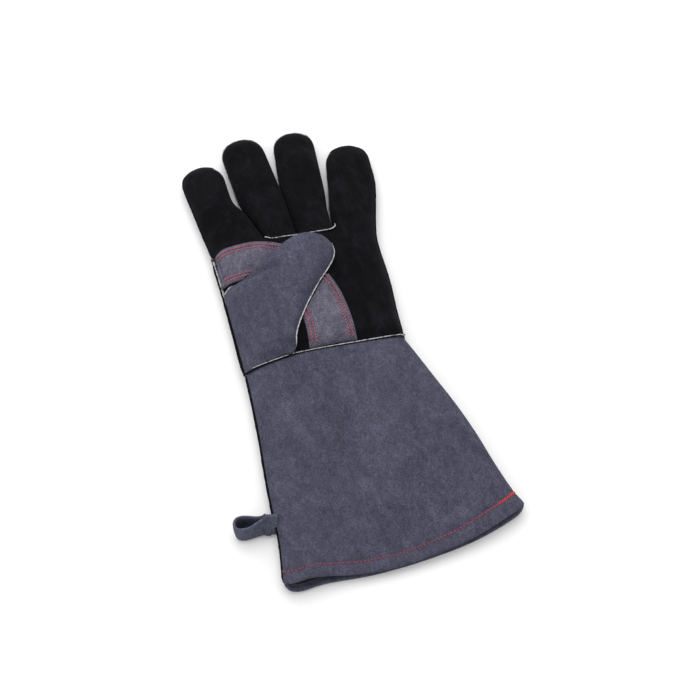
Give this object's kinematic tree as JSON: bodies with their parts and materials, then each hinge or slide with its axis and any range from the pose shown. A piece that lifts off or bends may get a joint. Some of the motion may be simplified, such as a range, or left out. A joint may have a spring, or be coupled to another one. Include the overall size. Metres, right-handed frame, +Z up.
{
  "type": "heat resistant glove",
  "caption": "Long suede gauntlet glove for hot cooking gear: separate fingers, a thumb folded over the palm, a flared cuff with a turned hem and a hanging loop.",
  "frame": {"origin": "middle of the wrist seam, on the plane that the back of the glove lies on", "axes": "+X across the glove towards the little finger, +Y along it towards the fingertips, +Z up out of the palm"},
  "size_m": [0.2222, 0.3984, 0.0389],
  "materials": {
    "black_suede": "napped suede",
    "grey_suede": "napped suede",
    "welt": "smooth cut edge",
    "lining": "brushed cloth",
    "patch_thread": "spun thread",
    "hem_thread": "spun thread"
  },
  "bodies": {
    "hand": {"palm_panel": "black_suede", "hand_back": "grey_suede", "hand_side_welt_thumb_side": "welt", "hand_side_welt_little_side": "welt", "wrist_welt_front": "welt", "wrist_welt_back": "welt", "knuckle_welt": "welt", "palm_patch": "grey_suede", "patch_stitching": "patch_thread", "thumb_wing": "grey_suede", "palm_lining": "lining", "hand_back_lining": "lining"},
    "index": {"index_front": "black_suede", "index_back": "grey_suede", "index_side_welt": "welt", "index_fourchette": "black_suede", "index_lining": "lining"},
    "middle": {"middle_front": "black_suede", "middle_back": "grey_suede", "middle_fourchette_index_side": "black_suede", "middle_fourchette_ring_side": "black_suede", "middle_lining": "lining"},
    "ring": {"ring_front": "black_suede", "ring_back": "grey_suede", "ring_fourchette_middle_side": "black_suede", "ring_fourchette_little_side": "black_suede", "ring_lining": "lining"},
    "little": {"little_front": "black_suede", "little_back": "grey_suede", "little_fourchette": "black_suede", "little_side_welt": "welt", "little_lining": "lining"},
    "thumb": {"thumb_outer": "grey_suede", "thumb_inner": "grey_suede", "thumb_welt": "welt", "thumb_lining": "lining"},
    "cuff": {"cuff_panel": "grey_suede", "cuff_side_welt": "welt", "cuff_lining": "lining", "hem_stitching": "hem_thread", "hem_bar_tack": "hem_thread", "hang_loop_end": "grey_suede"},
    "loop": {"hang_loop": "grey_suede"}
  },
  "joints": [
    {"name": "index_curl", "type": "hinge", "parent": "hand", "child": "index", "pos_m": [-0.03275, 0.112, 0.018], "axis": [1, 0, 0], "range_deg": [-10, 65]},
    {"name": "middle_curl", "type": "hinge", "parent": "hand", "child": "middle", "pos_m": [0.00299, 0.11144, 0.018], "axis": [0.9994, -0.0349, 0], "range_deg": [-10, 65]},
    {"name": "ring_curl", "type": "hinge", "parent": "hand", "child": "ring", "pos_m": [0.0338, 0.10854, 0.018], "axis": [0.9877, -0.1564, 0], "range_deg": [-10, 65]},
    {"name": "little_curl", "type": "hinge", "parent": "hand", "child": "little", "pos_m": [0.06445, 0.10074, 0.018], "axis": [0.9455, -0.3256, 0], "range_deg": [-10, 65]},
    {"name": "thumb_unfold", "type": "hinge", "parent": "hand", "child": "thumb", "pos_m": [-0.042, 0.0425, 0.0389], "axis": [0.3272, -0.9449, 0], "range_deg": [0, 110]},
    {"name": "wrist_bend", "type": "hinge", "parent": "hand", "child": "cuff", "pos_m": [0, -0.001, 0.011], "axis": [-1, 0, 0], "range_deg": [-25, 25]},
    {"name": "loop_swing", "type": "hinge", "parent": "cuff", "child": "loop", "pos_m": [-0.08943, -0.1165, 0.0105], "axis": [0, 0, 1], "range_deg": [-50, 50]}
  ]
}
